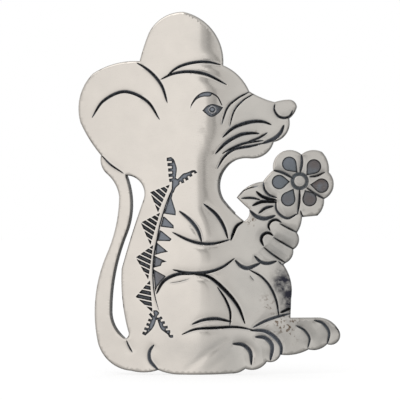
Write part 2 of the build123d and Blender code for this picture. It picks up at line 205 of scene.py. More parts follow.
# Chased lines.
# Each line has its points, the width of its black at the fullest place, how far the metal
# beside it rolls down, and how grey it is.
chasing = {
    "steep": 0.55,  # depth for each width
    "deepest": 0.32,  # mm
    "fullness": 0.42,  # how soon a line is full after its end
    "leastHalf": 0.015,  # mm, half the width of its ends
    "bottom": 1.7,  # how flat its bottom is
    "margin": 2.2,  # mm, past which it changes nothing
    "rimHeight": 0.022,  # mm of metal pushed up beside it
    "rimWidth": 0.16,  # mm
    "rimShape": (0.5, 0.45),  # where that is highest and how wide, in rim widths
    "softReach": 0.45,  # mm
    "broader": 1.22,  # the black of a line, against its drawn width
    "towardLit": (1.0, -0.6),  # the way to its lit side, which gets the painted highlight and less painted shade
    "smearAndShade": 0.62,  # oxide left beside it and painted shade, the most on its side away from the light
    "smearAndShadeReach": 0.17,  # mm
    "onLitSide": (0.55, 0.35),  # shares of these two on the lit side
    "lessByGrey": 0.4,  # how much less of this oxide and painted shade a grey line has
    "flank": 0.35,  # how much greyer, as a painted reflection, its flank away from the lit side is
    "greyHalf": 0.2,  # mm, where its grey bottom shows
    "bright": 0.3,  # how much lighter the painted highlight on the burr is, on its lit side
    "highlightShape": (0.9, 0.6),
    "within": 0.55,  # rows of points, in half widths
    "beyond": (0.5, 1.0, 2.2),  # and past its edge, in rim widths
    "step": 0.22,  # mm between the points along a line
}
lines = {
    "earBack": ([(-13.4, 17.3), (-10.6, 15.6), (-8, 13.2), (-6.1, 10.3), (-4.8, 6.1)], 0.66, 0.03),
    "innerEar": ([(-25.9, 2.1), (-22.6, 6.8), (-16.7, 9.3), (-10.5, 6.7), (-6.9, 1.5)], 0.72, 0.03),
    "farEar": ([(-4.9, 13.7), (-1.9, 15.9), (1.9, 17.1), (6.1, 17.4), (10, 16.6)], 0.66, 0.03),
    "brow": ([(-6.7, 12.6), (-3, 14.2), (1.4, 14.7), (6.1, 13.9), (11.6, 11.1)], 0.72, 0.03),
    "snoutUpper": ([(17.9, 9.3), (14.3, 7.2), (11.7, 4.7), (10.1, 0.1)], 0.47, 0.02),
    "snoutLower": ([(19.2, 8.8), (16.1, 6.8), (13.6, 3.9), (12.3, -0.5)], 0.39, 0.02),
    "nose": ([(24.8, 6), (24.6, 4.3), (25.6, 2.6), (27.3, 2), (28.9, 2.6), (29.7, 4.2)], 0.52, 0.06),
    "whiskerTop": ([(10.3, -3.4), (13.5, -0.7), (17.6, 0.8), (21.2, 1), (23.9, 0.1)], 0.83, 0.02),
    "whiskerMiddle": ([(8.3, -8), (11.2, -5), (14.9, -2.8), (17.9, -2.2), (20.6, -2.3)], 0.83, 0.02),
    "whiskerLow": ([(10.2, -7.9), (13.2, -6.2), (16.8, -4.9), (21.7, -4.2)], 0.55, 0.02),
    "whiskerShort": ([(17.1, -4.6), (20.1, -3.6), (22.8, -2)], 0.5, 0.02),
    "mouth": ([(8.9, -12), (10.9, -8.7), (13.8, -6.6), (17.9, -5.8), (21.8, -4.9)], 0.61, 0.04),
    "mouthCorner": ([(21.2, -5.1), (24.5, -3.7), (26.3, -2.1), (27.3, 0.2)], 0.83, 0.04, 0.45),
    "tailRoot": ([(-23.2, -8.2), (-20.5, -10.9), (-16.9, -13.3)], 0.36, 0.06),
    "tailTip": ([(-16.2, -59.2), (-15.5, -60.9), (-14.5, -62.6)], 0.33, 0.05),
    "rump": ([(-8.4, -60.3), (-9.7, -62.2), (-9.6, -64.8), (-7.3, -67.4)], 0.72, 0.08, 0.6),
    "armBack": ([(-1.6, -23.5), (1.5, -26.1), (3.6, -28.9), (4.7, -32.2)], 0.77, 0.04, 0.45),
    "armFront": ([(5.1, -21.5), (8.6, -24.5), (10.7, -27.8), (11.9, -31.3)], 0.77, 0.04),
    "sleeve": ([(-3.5, -29.4), (0.8, -31.5), (4.5, -32.5), (8.3, -32.5), (12.5, -31.4)], 0.66, 0.04),
    "cuff": ([(16.2, -26.4), (14.1, -28), (12.6, -31.8)], 0.72, 0.05, 0.05),
    "waist": ([(-3.4, -39.7), (0.8, -40.6), (5.8, -40.5), (10.2, -39.1), (13.8, -36.5)], 0.72, 0.04),
    "thighBack": ([(-7.9, -46.5), (-5.8, -42.9), (-1.9, -41), (3, -40.9)], 0.77, 0.05),
    "thigh": ([(1.9, -40.8), (6.6, -41.7), (11, -45.3), (14.6, -49.8), (16.6, -54.7)], 0.83, 0.05, 0.05),
    "innerThigh": ([(8.9, -44.4), (11.2, -47.9), (12.5, -51.5), (12.4, -55.3)], 0.55, 0.02, 0.05),
    "knee": ([(1.9, -54.8), (5, -53.6), (8.8, -53.2), (13, -54.1)], 0.72, 0.04),
    "shin": ([(-0.9, -57.6), (3, -56.1), (8.5, -55.7), (14.1, -55.5), (18.8, -56.3)], 0.61, 0.04, 0.05),
    "instep": ([(17.9, -56.4), (21.8, -56.6), (24.7, -58.3), (26.5, -61), (26.1, -64.6)],
               0.83, 0.09, 0.6),
    "ankle": ([(18.6, -55.7), (21.8, -54), (25.1, -52.8), (29.1, -51.8)], 0.61, 0.06, 0.45),
    "belt": ([(26.2, -51.6), (27.8, -50.9), (29.5, -50.1)], 0.66, 0.05, 0.05),
    "belly": ([(17.5, -39.6), (21.1, -41.7), (23.6, -44.7), (25.2, -48.5), (25.9, -52.9)], 0.55, 0.04),
    "palmLow": ([(13.7, -37), (15.4, -38.7), (17.5, -39.3), (20.8, -37.9)], 0.83, 0.07, 0.45),
    "palmHigh": ([(19, -35.8), (20.9, -37.6), (23, -38), (25.4, -37.3)], 0.72, 0.07, 0.45),
    "nearToeBack": ([(13, -60.1), (16, -60.4), (18, -62.4), (18.3, -66)], 0.83, 0.15, 0.45),
    "nearToeFront": ([(19.2, -58.2), (22.1, -58.5), (24, -60.8), (23.5, -64.8)], 0.88, 0.15, 0.6),
    "farToeBack": ([(30.5, -55.1), (32.8, -56.4), (34.3, -58.7), (33.8, -61.4)], 0.5, 0.15, 0.6),
    "farToeFront": ([(35.5, -53.7), (38, -54.6), (39.7, -57.1), (39.2, -60.3)], 0.6, 0.15, 0.6),
    "farToeEdge": ([(41.3, -55.5), (42.2, -56.4), (42.7, -57.6)], 0.25, 0.03),
    "knuckleTop": ([(23.5, -29.1), (23, -27.7), (23.8, -26.4), (25.2, -26), (26.7, -26.8)],
                   0.61, 0.07, 0.05),
    "fingerTop": ([(26, -27), (28.4, -28.3), (31, -29.6)], 0.33, 0.16),
    "knuckleLow": ([(21.7, -33.3), (21, -31.6), (21.5, -30.2), (22.9, -29.6), (24.4, -30.4)],
                   0.72, 0.07, 0.05),
    "fingerMiddle": ([(24.3, -30.8), (27.3, -32.6), (30.1, -34.2)], 0.36, 0.16),
    "fingerLow": ([(21.6, -33.5), (24.5, -35.8), (27.9, -38)], 0.39, 0.16),
    "veinTop": ([(19.5, -18.1), (21.1, -19.5), (23, -20.2), (25.4, -20.6)], 0.77, 0.03, 0.05),
    "veinMiddle": ([(15.4, -20.1), (18.2, -20), (20.8, -20.5)], 0.5, 0.03),
    "veinLow": ([(18.4, -22.2), (20.9, -21.1), (22.9, -21), (25.4, -21.2)], 0.77, 0.03, 0.05),
    "veinShort": ([(20.2, -24.3), (22.2, -22.8), (24.5, -22.2)], 0.66, 0.03),
    "leafTop": ([(14.6, -19.8), (16.6, -17.8), (20.2, -16.7)], 0.25, 0.05),
    "leafBase": ([(17.7, -23.3), (19.7, -25.1), (22.2, -25.7), (25, -24.8)], 0.88, 0.05, 0.45),
    "petalLeft": ([(21.6, -15.6), (21.9, -17.6), (23.2, -19.2), (25.5, -20)], 0.5, 0.14),
    "petalUpperLeft": ([(24.4, -12.4), (27, -13.1), (29.8, -14.6)], 0.55, 0.14, 0.45),
    "petalTop": ([(32.1, -8), (32.2, -10.5), (31.7, -13.1)], 0.62, 0.14, 0.6),
    "petalUpperRight": ([(34.2, -14.2), (36.4, -13.9), (38.6, -12.9)], 0.41, 0.14),
    "petalLowerRight": ([(33.4, -17.1), (35.8, -18.8), (38.5, -20.3)], 0.47, 0.14, 0.6),
    "petalBottom": ([(31.6, -17.5), (31.5, -20.9), (31, -24.4)], 0.52, 0.14),
    "petalLowerLeft": ([(25.1, -20.6), (25.1, -23), (26.4, -24.8), (28.5, -25.6), (31.3, -24.2)],
                       0.5, 0.14, 0.45),
    "petalStem": ([(31.8, -23.4), (32.1, -24.5), (32.7, -25.5)], 0.33, 0.06),
    "underThigh": ([(-4.1, -43.4), (-1.5, -43), (1.1, -42.3)], 0.12, 0.01),
    "bellyFold": ([(17.9, -41.3), (18.4, -42), (19, -42.7)], 0.14, 0.01),
    "palmFold": ([(25.6, -37.3), (26.4, -38), (27.2, -38.6)], 0.25, 0.03),
}
# soft dents without a cut: points, depth in mm and reach in mm
folds = [
    ([(0.3, -67.5), (5.8, -63.1), (11.3, -59.2)], 0.03, 0.45),
    ([(7, -67), (11.8, -63.2), (14, -60.5)], 0.014, 0.5),
    ([(26.4, -53), (29, -56.5), (28.5, -62.5)], 0.03, 0.5),
    ([(36.1, -54.6), (37.8, -57.9), (37.5, -61.2)], 0.04, 0.4),
    ([(33, -54.3), (35.3, -57.6), (35.4, -61.5)], 0.02, 0.35),
    ([(4.5, -2), (6.8, -8), (6.6, -17)], 0.004, 0.6),
]


def chasedLine(points, width, soft, grey=0.25):
    line = smoothLine(points, chasing["step"])
    length = np.r_[0, np.cumsum(np.linalg.norm(np.diff(line, axis=0), axis=1))]
    share = length / length[-1]
    taper = np.maximum(4 * share * (1 - share), 0.0) ** chasing["fullness"]
    half = np.maximum(width * chasing["broader"] * unit / 2 * taper, chasing["leastHalf"])
    deep = np.minimum(2 * half * chasing["steep"], chasing["deepest"])
    return {"line": line, "half": half, "deep": deep, "soft": soft, "grey": grey}


chased = [chasedLine(*values) for values in lines.values()]


# Stamped marks.
# The border down the back: hatched triangles left of a raised strip and a fine line,
# plain triangles on its right, and a pair of barbed feathers at each end.
stamping = {
    "deep": 0.26,  # mm
    "wall": 0.09,  # mm, the sloping side of a mark
    "sootReach": 0.34,  # mm that the black reaches in from a mark's side
    "blacker": 2.2,  # that reach in the stripes, against other marks
    "blackShare": 0.78,  # of a step between two stripes
    "highlightShape": (1.0, 0.6),
    "margin": 0.5,  # mm, past which it changes nothing
    "step": 0.25,  # mm between the points round a mark
    "featherStep": 0.15,
    "toothStep": 0.2,
}
# corners, slope in degrees and number of stripes
hatched = [
    ([(-4.1, -16.3), (-9.6, -18.4), (-7.4, -24)], -40, 6),
    ([(-6.8, -24), (-12.2, -26.8), (-9.5, -33)], -33, 7),
    ([(-8.7, -32.9), (-13.6, -36.4), (-10.1, -42.5)], -25, 7),
    ([(-9.6, -42.6), (-13.6, -47.2), (-8.9, -51.5)], -12, 6),
]
plainTriangles = [
    [(-3.6, -17.4), (-3.1, -17.8), (-3.6, -20.1), (-2.5, -23.6), (-2.5, -24.8), (-5.8, -24.3)],
    [(-6, -25.1), (-5.5, -25.2), (-3.1, -27.5), (-3, -28.4), (-6.7, -27.9)],
    [(-6.9, -28.8), (-6.3, -29.1), (-3.6, -31.3), (-4.1, -31.9), (-7.6, -31.8)],
    [(-7.8, -32.2), (-6.2, -33.5), (-4.6, -34.8), (-6.6, -35.2), (-8.2, -35.7)],
    [(-8.3, -35.9), (-6.9, -36.6), (-4.9, -37.5), (-6.3, -37.8), (-6.6, -38.7), (-8.6, -39.2)],
    [(-8.7, -39.6), (-7, -40.5), (-5.2, -41.5), (-6.7, -43.1), (-7.6, -44.4), (-8.2, -45.9)],
]
spine = ([(-3.3, -17.1), (-4.7, -20.4), (-5.9, -24), (-6.9, -27.6), (-7.7, -31.7), (-8.3, -34.5),
          (-8.7, -37.8), (-8.8, -41.3), (-8.6, -44.7), (-8.1, -47.7), (-7.1, -51.1)], 0.34, 0, 0.3)
# a feather's smooth edge, the tips of its teeth, the notch before each and the teeth's half width
feathers = [
    ([(-2.8, -15.7), (-2.5, -14.6), (-2.3, -13.2), (-2.2, -11.8), (-2.6, -10.4), (-3, -9.4), (-3.8, -8.7)],
     [(-4.3, -15.2), (-4.5, -13.8), (-4.6, -12.3), (-4.8, -10.8), (-5, -9.4)],
     [(-3.3, -15.6), (-3.4, -14.4), (-3.5, -13), (-3.6, -11.5), (-3.6, -10.1)], 0.46),
    ([(-2.7, -15.5), (-1.9, -14.7), (-1.2, -14), (-0.5, -13.3), (0.2, -13.1), (1.1, -12.8), (1.9, -12.4),
      (2.8, -12.3)],
     [(-0.5, -15.9), (0.7, -15.1), (1.8, -14.1), (3.1, -13.2)],
     [(-1.2, -15.6), (-0.2, -14.8), (1, -14), (2.1, -13.1)], 0.43),
    ([(-7.8, -53), (-8, -53.8), (-8.3, -54.8), (-8.9, -55.9), (-9.7, -56.8), (-10.9, -57.9)],
     [(-9.7, -51.8), (-10.1, -53.5), (-10.6, -54.7), (-11.2, -55.9), (-11.7, -57.1)],
     [(-8.9, -52.1), (-9.1, -53.2), (-9.6, -54.3), (-10, -55.6), (-10.6, -56.7)], 0.37),
    ([(-7.7, -53), (-7.4, -54.1), (-7, -55.3), (-6.5, -56.2), (-5.6, -56.9), (-4.7, -57.6), (-4.3, -58.3),
      (-3.7, -58.5)],
     [(-6.3, -52.8), (-5.5, -54.2), (-4.7, -55.5), (-4, -56.7), (-3.2, -58)],
     [(-7.1, -52.7), (-6.6, -53.7), (-5.9, -55), (-5.2, -56.2), (-4.1, -57.3)], 0.38),
]
topRoot = [(-3.5, -15), (-2.5, -14.5), (-1.5, -15.1), (-1.4, -16.2), (-2.5, -17.2), (-3.1, -18.6),
           (-3.6, -18.5), (-3.6, -16.6)]
featherRoot = [(-8.7, -50.9), (-7.7, -50.9), (-7, -51.6), (-7.3, -52.2), (-7.7, -52.5), (-7.4, -53.3)]
featherRoot += [(-7.8, -53.6), (-8.3, -53.1), (-8.7, -52.8), (-8.5, -52.2), (-8.7, -51.6)]
flower = {
    "middle": (31.6, -15.4),
    "ring": 2.0,
    "ringWidth": 0.95,
    "ringDepth": 0.7,  # of half its width
    "ringSoft": 0.06,
    "ringGrey": 0.62,
    "pit": 2.02,
}
petalPits = [
    ((28.7, -10.6), (31, -13)),
    ((35.5, -11.3), (33.4, -13.8)),
    ((37.6, -16.6), (34.4, -16.3)),
    ((34.3, -20.3), (33, -17.8)),
    ((28.4, -20.3), (29.9, -17.4)),
    ((25.9, -15.6), (28.9, -15.5)),
]
eye = {
    "upperLid": [(4.8, 4), (6.2, 5.4), (8, 5.8), (10.6, 4.9)],
    "lowerLid": [(10.6, 4.9), (9.1, 3.1), (7.1, 2.3), (4.8, 4)],
    "ball": (7.55, 4.3),
    "ballRadius": 1.22,
    "swell": 1.05,  # of the depth of the lids
    "circles": (1.22, 1.1, 0.98, 0.86, 0.76, 0.62, 0.48, 0.3, 0.15),
    # how black it is within each radius, beyond them, and left and right of the ball; the pale ring round
    # the pupil and the ring below nought, which shows clean silver, are painted highlights
    "rings": [(0.3, 0.75), (0.48, 0.25), (0.76, 0.85), (0.86, 0.35), (1.12, -0.34)],
    "white": 0.2,
    "corners": (0.3, 0.3),
}
eyebrow = [[(1.5, 4.4), (1.8, 5.9), (3.1, 7.9), (5, 9.1), (7.2, 9.1), (9.2, 7.8), (10.4, 5.4)],
           [(10.4, 5.4), (10, 5.6), (8.9, 7.6), (7.5, 8.5)],
           [(7.5, 8.5), (6.9, 7.9), (5, 7.8), (3.3, 7.1), (2, 5.5), (1.5, 4.4)]]


def smoothLoop(*stretches):
    return np.vstack([smoothLine(points, stamping["step"])[:-1] for points in stretches])


def straightLoop(points):
    return spaced(placed(points), stamping["step"], closed=True)


def circle(middle, radius, count):
    turn = np.arange(count) * 2 * math.pi / count
    return placed(middle) + radius * unit * np.stack([np.cos(turn), np.sin(turn)], axis=1)


def dropLoop(middle, point, radius):
    # a round pit drawn out to a point
    middle = np.array(middle)
    reach = np.array(point) - middle
    heading = math.atan2(reach[1], reach[0])
    spread = math.acos(radius / np.linalg.norm(reach))
    turns = heading + np.linspace(spread, 2 * math.pi - spread, 26)
    rim = middle + radius * np.stack([np.cos(turns), np.sin(turns)], axis=1)
    return straightLoop(np.vstack([rim, point]))


def clipped(loop, spot, normal):
    # the part of a convex loop on the normal's side of a line
    rows = []
    for start, end in zip(loop, np.roll(loop, -1, axis=0)):
        a = (start - spot) @ normal
        b = (end - spot) @ normal
        if a >= 0:
            rows.append(start)
        if a * b < 0:
            rows.append(start + (end - start) * a / (a - b))
    return np.array(rows)


def hatchLoops(corners, slope, stripes):
    corners = np.array(corners)
    top, bottom = corners[0], corners[2]
    turn = math.radians(slope)
    normal = np.array([-math.sin(turn), math.cos(turn)])
    step = abs((bottom - top) @ normal) / stripes
    loops = []
    for index in range(stripes):
        middle = top + (bottom - top) * (index + 0.5) / stripes
        band = clipped(corners, middle - normal * step * stamping["blackShare"] / 2, normal)
        band = clipped(band, middle + normal * step * stamping["blackShare"] / 2, -normal)
        loops.append(straightLoop(band))
    return loops


def featherLoop(edge, tips, notches, half):
    # the smooth edge from the root to the end, and back along the teeth
    edge = smoothLine(edge, stamping["featherStep"])
    tips, notches = placed(tips), placed(notches)
    half *= unit
    rows = [edge]
    for index in reversed(range(len(tips))):
        before, after = notches[index], notches[min(index + 1, len(tips) - 1)]
        along = tips[index] - (before + after) / 2
        if index == len(tips) - 1:
            along = tips[index - 1] - (notches[index - 1] + notches[index]) / 2
        along /= np.linalg.norm(along)
        across = np.array([-along[1], along[0]])
        across *= half * (1 if (before - tips[index]) @ across > 0 else -1)
        corners = [tips[index] - across, tips[index] + across]
        if index < len(tips) - 1:
            corners.insert(0, corners[0] - along * ((corners[0] - after) @ along))
        corners.append(corners[-1] - along * ((corners[-1] - before) @ along))
        rows.append(np.array(corners))
    return spaced(np.vstack(rows), stamping["toothStep"], closed=True)


stamped = []  # each a list of overlapping loops that are one mark
for mark in hatched:
    stamped += [[loop] for loop in hatchLoops(*mark)]
narrow = len(stamped)  # these first ones hold more of the black
stamped += [[straightLoop(points)] for points in plainTriangles[1:]]
stamped += [[dropLoop(middle, point, flower["pit"])] for middle, point in petalPits]
for pair in (feathers[:2], feathers[2:]):
    stamped.append([featherLoop(*feather) for feather in pair])
stamped[-2] += [straightLoop(topRoot), straightLoop(plainTriangles[0])]
stamped[-1].append(straightLoop(featherRoot))
stamped.append([smoothLoop(*eyebrow)])
eyeLoop = smoothLoop(eye["upperLid"], eye["lowerLid"])
stamped.append([eyeLoop])
chased.append(chasedLine(*spine))
ring = circle(flower["middle"], flower["ring"], 44)
ring = np.vstack([ring, ring[:1]])
ringHalf = np.full(len(ring), flower["ringWidth"] * unit / 2)
chased.append({"line": ring, "half": ringHalf, "deep": ringHalf * flower["ringDepth"],
               "soft": flower["ringSoft"], "grey": flower["ringGrey"]})
print(f"drawing ready: {len(chased)} chased lines, {len(stamped)} stamped marks")


# The front as a surface.
surface = {
    "edgeRound": 0.3,  # mm, the softened front edge
    "edgeSteps": [0.05, 0.13, 0.28],
    "outlineStep": 0.3,
    "grid": 0.5,
    "apart": 0.075,  # mm between loose points at the least
    "clear": 0.93,  # of a step aside, to be left to the edge
    "deepest": 0.75,
    "ripple": 0.005,  # mm, the hand-planished unevenness
    "rippleLength": (7.0, 11.2),
    "backGrid": 1.6,
    "backMargin": 0.6,
    "sawLean": 0.24,  # mm that the cut beside tail and throat leans out behind
    "leaning": (14, 0),  # hundredths, where the leaning cuts end
    "facingGain": 1.8,  # how soon an edge faces right, from where
    "facingFrom": 0.4,
    "edgeShade": (0.45, 0.7, 0.95),  # painted shade on all edges, those facing right, leaning ones
    "edgeReach": (0.22, 0.08, 0.14),  # mm: its width, the more on the right, its fade
    "smoothTo": 34,  # degrees
}
outlines = [spaced(loop, surface["outlineStep"], closed=True) for loop in sheet["loops"]]
outlines.sort(key=len, reverse=True)


def onSheet(spots):
    within = inside(spots, outlines[0])
    for loop in outlines[1:]:
        within &= ~inside(spots, loop)
    return within


def edgeDistance(spots):
    return np.min([nearest(spots, loop, closed=True)[0] for loop in outlines], axis=0)


def bell(x, middle, width):
    return np.exp(-((x - middle) / width) ** 2)


def raiseTo(values, places, found):
    values[places] = np.maximum(values[places], found)


def measureLine(line, spots, found):
    close = nearby(spots, line["line"], chasing["margin"])
    gap, place = nearest(spots[close], line["line"])
    low = np.minimum(place.astype(int), len(line["line"]) - 2)
    share = place - low
    half = line["half"][low] * (1 - share) + line["half"][low + 1] * share
    floor = line["deep"][low] * (1 - share) + line["deep"][low + 1] * share
    foot = line["line"][low] * (1 - share)[:, None] + line["line"][low + 1] * share[:, None]
    side = sideways(line["line"])
    side *= np.where(side @ chasing["towardLit"] < 0, -1.0, 1.0)[:, None]
    # steep is 1 on the line's lit side and -1 on its side away from the light
    steep = np.sign(((spots[close] - foot) * side[low]).sum(axis=1))
    across = np.clip(gap / half, 0, 1)
    beside = np.maximum(gap - half, 0)
    full = np.clip(half / line["half"].max(), 0, 1)
    covered = gap < half
    found["marked"][close] |= covered
    raiseTo(found["deep"], close, floor * (1 - across ** chasing["bottom"]))
    rim = chasing["rimHeight"] * full * bell(beside / chasing["rimWidth"], *chasing["rimShape"])
    found["raised"][close] += np.where(gap > half, rim, 0)
    found["raised"][close] -= line["soft"] * full * np.exp(-beside / chasing["softReach"])
    # a painted reflection greys the flank away from the lit side
    grey = line["grey"] + chasing["flank"] * np.clip(-steep * across, 0, 1)
    grey = grey * full * np.clip(half / chasing["greyHalf"], 0, 1)
    raiseTo(found["soot"], close, np.where(covered, 1 - grey, 0))
    # oxide left beside the line and painted shade, stronger and wider on the side away from the light
    weaker, shorter = (np.where(steep > 0, less, 1.0) for less in chasing["onLitSide"])
    strength = weaker * chasing["smearAndShade"] * (1 - chasing["lessByGrey"] * line["grey"])
    smearAndShade = strength * full * np.exp(-beside / (shorter * chasing["smearAndShadeReach"]))
    raiseTo(found["smearAndShade"], close, smearAndShade)
    # a painted highlight on the burr, on the lit side only
    highlight = bell(beside / chasing["rimWidth"], *chasing["highlightShape"]) * chasing["bright"] * full
    raiseTo(found["light"], close, np.where((steep > 0) & (gap > half), highlight, 0))


def measureStamp(mark, sootReach, spots, found):
    close = nearby(spots, np.vstack(mark), stamping["margin"])
    reach = np.full(len(close), -1.0)
    outside = np.full(len(close), 1e9)
    for loop in mark:
        gap, _ = nearest(spots[close], loop, closed=True)
        reach = np.maximum(reach, np.where(inside(spots[close], loop), gap, -1.0))
        outside = np.minimum(outside, gap)
    covered = reach >= 0
    found["marked"][close] |= covered
    raiseTo(found["deep"], close, stamping["deep"] * np.clip(reach / stamping["wall"], 0, 1))
    raiseTo(found["soot"], close, np.where(covered, 1 - np.clip(reach / sootReach, 0, 1), 0))
    # a painted highlight on the burr all round the mark
    highlight = bell(outside / chasing["rimWidth"], *stamping["highlightShape"]) * chasing["bright"]
    raiseTo(found["light"], close, np.where(covered, 0, highlight))


def measureMarks(spots):
    # what the marks do at each spot
    found = {name: np.zeros(len(spots)) for name in ("deep", "raised", "soot", "smearAndShade", "light")}
    found["marked"] = np.zeros(len(spots), bool)
    for line in chased:
        measureLine(line, spots, found)
    for place, mark in enumerate(stamped):
        wider = stamping["blacker"] if place < narrow else 1.0
        measureStamp(mark, stamping["sootReach"] * wider, spots, found)
    return found


def ripple(spots):
    lengths = surface["rippleLength"]
    rows = [noise.noise(Vector((x / lengths[0], z / lengths[1], 0.0))) for x, z in spots]
    total = surface["ripple"] * np.array(rows)
    for points, depth, reach in folds:
        gap, _ = nearest(spots, smoothLine(points, 0.5))
        total += depth * np.exp(-(gap / reach) ** 2)
    return total


def edgeFacing(spots):
    # distance to the sheet's edge, and how far that edge faces right
    gaps = [nearest(spots, loop, closed=True) for loop in outlines]
    gap = np.min([distance for distance, _ in gaps], axis=0)
    facing = np.zeros(len(spots))
    for loop, (distance, where) in zip(outlines, gaps):
        run = np.roll(loop, -1, axis=0) - loop
        side = run[:, 1] / np.linalg.norm(run, axis=1)
        beside = loop[0] + run[0] / 2 + 0.01 * np.array([run[0, 1], -run[0, 0]])
        if inside(beside[None], loop)[0] == (loop is outlines[0]):
            side = -side
        mine = distance == gap
        facing[mine] = side[where[mine].astype(int) % len(loop)]
    return gap, np.clip(facing * surface["facingGain"] - surface["facingFrom"], 0, 1)


def paintedEdgeShade(spots, gap, facing):
    # painted shade on the edges, darker where they face right and the most beside the tail and throat
    least, right, most = surface["edgeShade"]
    wide, wider, fade = surface["edgeReach"]
    full = np.where((spots < np.array(surface["leaning"]) * unit).all(axis=1), most, right)
    return (least + (full - least) * facing) * np.clip((wide + wider * facing - gap) / fade, 0, 1)


# dull, darker and stained places: middle and reach in hundredths, and how strong; the tall patches at
# (7.5, -27) and (6.5, 21) are painted shade, the dark streak reflected in the silver
clouds = {
    "tarnishAndShade": [
        ((31.5, -16), (10.5, 10), 0.4), ((27, -32.5), (7.5, 8), 0.62),
        ((27, 3.5), (6, 5), 0.15), ((35, -57.5), (11, 7), 0.32),
        ((22, -61), (7, 6), 0.16), ((20, -46), (12, 10), 0.12),
        ((8, -62), (16, 5), 0.22), ((7.5, -27), (3.5, 9), 0.12),
        ((27.5, -45), (4.5, 8), 0.55), ((6.5, 21), (3.5, 9), 0.1),
        ((17.5, -2.5), (9, 6), 0.15),
    ],
    "stain": [
        ((27, -43.6), (2.6, 2.6), 2.4), ((28.6, -47.6), (2.2, 4.2), 1.5),
        ((26.4, -40.6), (2, 1.6), 0.9),
    ],
    "bronze": [
        ((37, -16.3), (4, 4), 1.2), ((34.6, -20.5), (3.4, 3.4), 0.9),
        ((35.8, -10.6), (3.4, 3.4), 0.9), ((28.3, -20.6), (2, 2), 0.5),
        ((-6.5, -41.5), (2.5, 6), 0.6),
    ],
    "rust": [
        ((27.5, -54.5), (4.5, 3.5), 1.3), ((18.6, -26.8), (1.3, 1.6), 1.4),
        ((21, -1.8), (2, 1.5), 0.7), ((23, -49.5), (2.5, 3), 0.7),
        ((29, -57.5), (3, 2.5), 0.8),
    ],
}


def clouded(spots, patches):
    total = np.zeros(len(spots))
    for middle, reach, strength in patches:
        away = (spots / unit - np.array(middle)) / np.array(reach)
        total = np.maximum(total, strength * np.exp(-1.6 * (away ** 2).sum(axis=1)))
    return np.clip(total, 0, 1)


def sinkEye(spots, found):
    # the ball swells out of the sunk lids, with a ring and a pupil cut in it
    ball = placed(eye["ball"])
    gap = np.linalg.norm(spots - ball, axis=1) / unit
    inBall = (gap < eye["ballRadius"]) & (found["deep"] > 0)
    swell = np.sqrt(np.clip(1 - (gap / eye["ballRadius"]) ** 2, 0, 1)) * stamping["deep"] * eye["swell"]
    found["deep"] = np.where(inBall, np.maximum(found["deep"] - swell, 0), found["deep"])
    inEye = (found["deep"] > 0) & inside(spots, eyeLoop)
    left, more = eye["corners"]
    corners = np.maximum(found["soot"], left + more * (spots[:, 0] > ball[0]))
    found["soot"] = np.where(inEye, corners, found["soot"])
    # black by rings on the ball, with painted highlights in its pale rings
    kinds = [gap < radius for radius, _ in eye["rings"]]
    rings = np.select(kinds, [share for _, share in eye["rings"]], eye["white"])
    found["soot"] = np.where(inBall & (found["deep"] > 0), rings, found["soot"])


def aside(loop, distance):
    # a closed loop moved out to either side
    side = sideways(np.vstack([loop[-1:], loop, loop[:1]]))[1:-1]
    return [loop + side * sign * distance for sign in (-1, 1)]


def frontPoints():
    # points of the mesh's edges, then loose ones between them
    firm, runs, loose = [], [], []

    def addLoop(points):
        runs.append((len(firm), len(points)))
        firm.extend(map(tuple, points))

    for loop in outlines:
        addLoop(loop)
        for distance in surface["edgeSteps"]:
            for rows in aside(loop, distance):
                loose.append(rows[onSheet(rows) & (edgeDistance(rows) > surface["clear"] * distance)])
    for line in chased:
        side = sideways(line["line"])
        half = line["half"][:, None]
        addLoop(np.vstack([line["line"] + side * half, (line["line"] - side * half)[::-1]]))
        loose.append(line["line"])
        for sign in (-1, 1):
            loose.append(line["line"] + side * sign * half * chasing["within"])
            for beyond in chasing["beyond"]:
                loose.append(line["line"] + side * sign * (half + beyond * chasing["rimWidth"]))
    for mark in stamped:
        for loop in mark:
            addLoop(loop)
            for distance in (stamping["wall"], chasing["rimWidth"], stamping["sootReach"]):
                for rows in aside(loop, distance):
                    gap = nearest(rows, loop, closed=True)[0]
                    loose.append(rows[gap > surface["clear"] * distance])
    loose += [circle(eye["ball"], radius, 20) for radius in eye["circles"]]
    low = outlines[0].min(axis=0)
    high = outlines[0].max(axis=0)
    step = surface["grid"]
    loose.append(np.array([(x, z) for i, x in enumerate(np.arange(low[0], high[0], step))
                           for z in np.arange(low[1] + (i % 2) * step / 2, high[1], step)]))
    return np.array(firm), runs, np.vstack(loose)


def thinned(firm, loose, apart):
    # loose points that stand clear of the firm ones and of each other
    taken = {}
    for spot in firm:
        taken.setdefault((int(spot[0] // apart), int(spot[1] // apart)), []).append(spot)
    kept = []
    for spot in loose:
        column, row = int(spot[0] // apart), int(spot[1] // apart)
        cells = [(column + i, row + j) for i in (-1, 0, 1) for j in (-1, 0, 1)]
        around = [other for cell in cells for other in taken.get(cell, ())]
        if all((spot[0] - other[0]) ** 2 + (spot[1] - other[1]) ** 2 > apart ** 2 for other in around):
            taken.setdefault((column, row), []).append(spot)
            kept.append(spot)
    return np.array(kept)


def triangulated(spots, edges, nearness, sign):
    # triangles with these edges, turned to the sign's side
    places = [Vector(spot) for spot in spots]
    found = geometry.delaunay_2d_cdt(places, edges, [], 0, nearness, False)
    spots = np.array([tuple(place) for place in found[0]])
    faces = np.array(found[2])
    faces = faces[onSheet(spots[faces].mean(axis=1))]
    a, b, c = (spots[faces[:, i]] for i in range(3))
    area = (b[:, 0] - a[:, 0]) * (c[:, 1] - a[:, 1]) - (b[:, 1] - a[:, 1]) * (c[:, 0] - a[:, 0])
    turned = area * sign < 0
    faces[turned] = faces[turned][:, ::-1]
    return spots, faces


